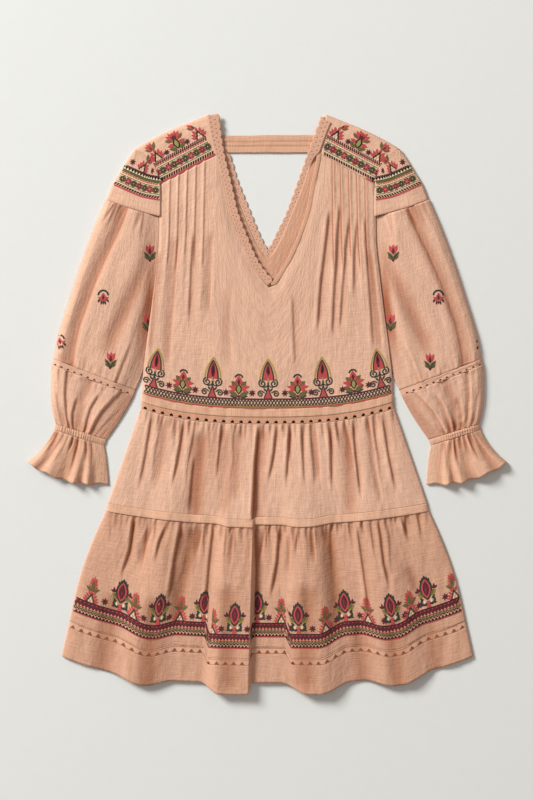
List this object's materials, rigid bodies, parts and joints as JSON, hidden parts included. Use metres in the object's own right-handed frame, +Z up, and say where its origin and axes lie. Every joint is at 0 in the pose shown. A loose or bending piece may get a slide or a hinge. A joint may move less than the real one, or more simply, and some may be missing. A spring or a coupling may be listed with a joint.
{
  "type": "peasant dress",
  "caption": "Long-sleeved V-neck peasant dress in cotton gauze with embroidered borders, laid flat on its back.",
  "frame": {"origin": "centre of the dress's outline on the surface it lies on", "axes": "+Y towards the neck, +X towards the side on the right of a viewer above the front, +Z up off the surface"},
  "size_m": [0.746, 0.9014, 0.0165],
  "materials": {
    "gauze": "matte slubbed cotton gauze",
    "lace": "matte cotton lace",
    "binding": "matte pressed cotton"
  },
  "bodies": {
    "root": {"bodice_front": "gauze", "bodice_back": "gauze", "waist_band_front": "binding", "waist_band_back": "binding", "waist_lace_front": "lace", "waist_lace_back": "lace", "skirt_tier1_front": "gauze", "skirt_tier1_back": "gauze", "tier_tuck_front": "binding", "tier_tuck_back": "binding", "skirt_tier2_front": "gauze", "skirt_tier2_back": "gauze", "hem_lace_front": "lace", "hem_lace_back": "lace", "hem_band_front": "binding", "hem_band_back": "binding", "yoke_left": "gauze", "yoke_right": "gauze", "sleeve_cap_left": "gauze", "sleeve_cap_right": "gauze", "sleeve_upper_left": "gauze", "sleeve_upper_right": "gauze", "sleeve_lace_left": "lace", "sleeve_lace_right": "lace", "sleeve_lower_left": "gauze", "sleeve_lower_right": "gauze", "cuff_casing_left": "gauze", "cuff_casing_right": "gauze", "cuff_ruffle_left": "gauze", "cuff_ruffle_right": "gauze", "neck_lace_front_left": "lace", "neck_band_front_right": "binding", "neck_lace_back": "lace", "neck_strap": "binding"}
  },
  "joints": []
}
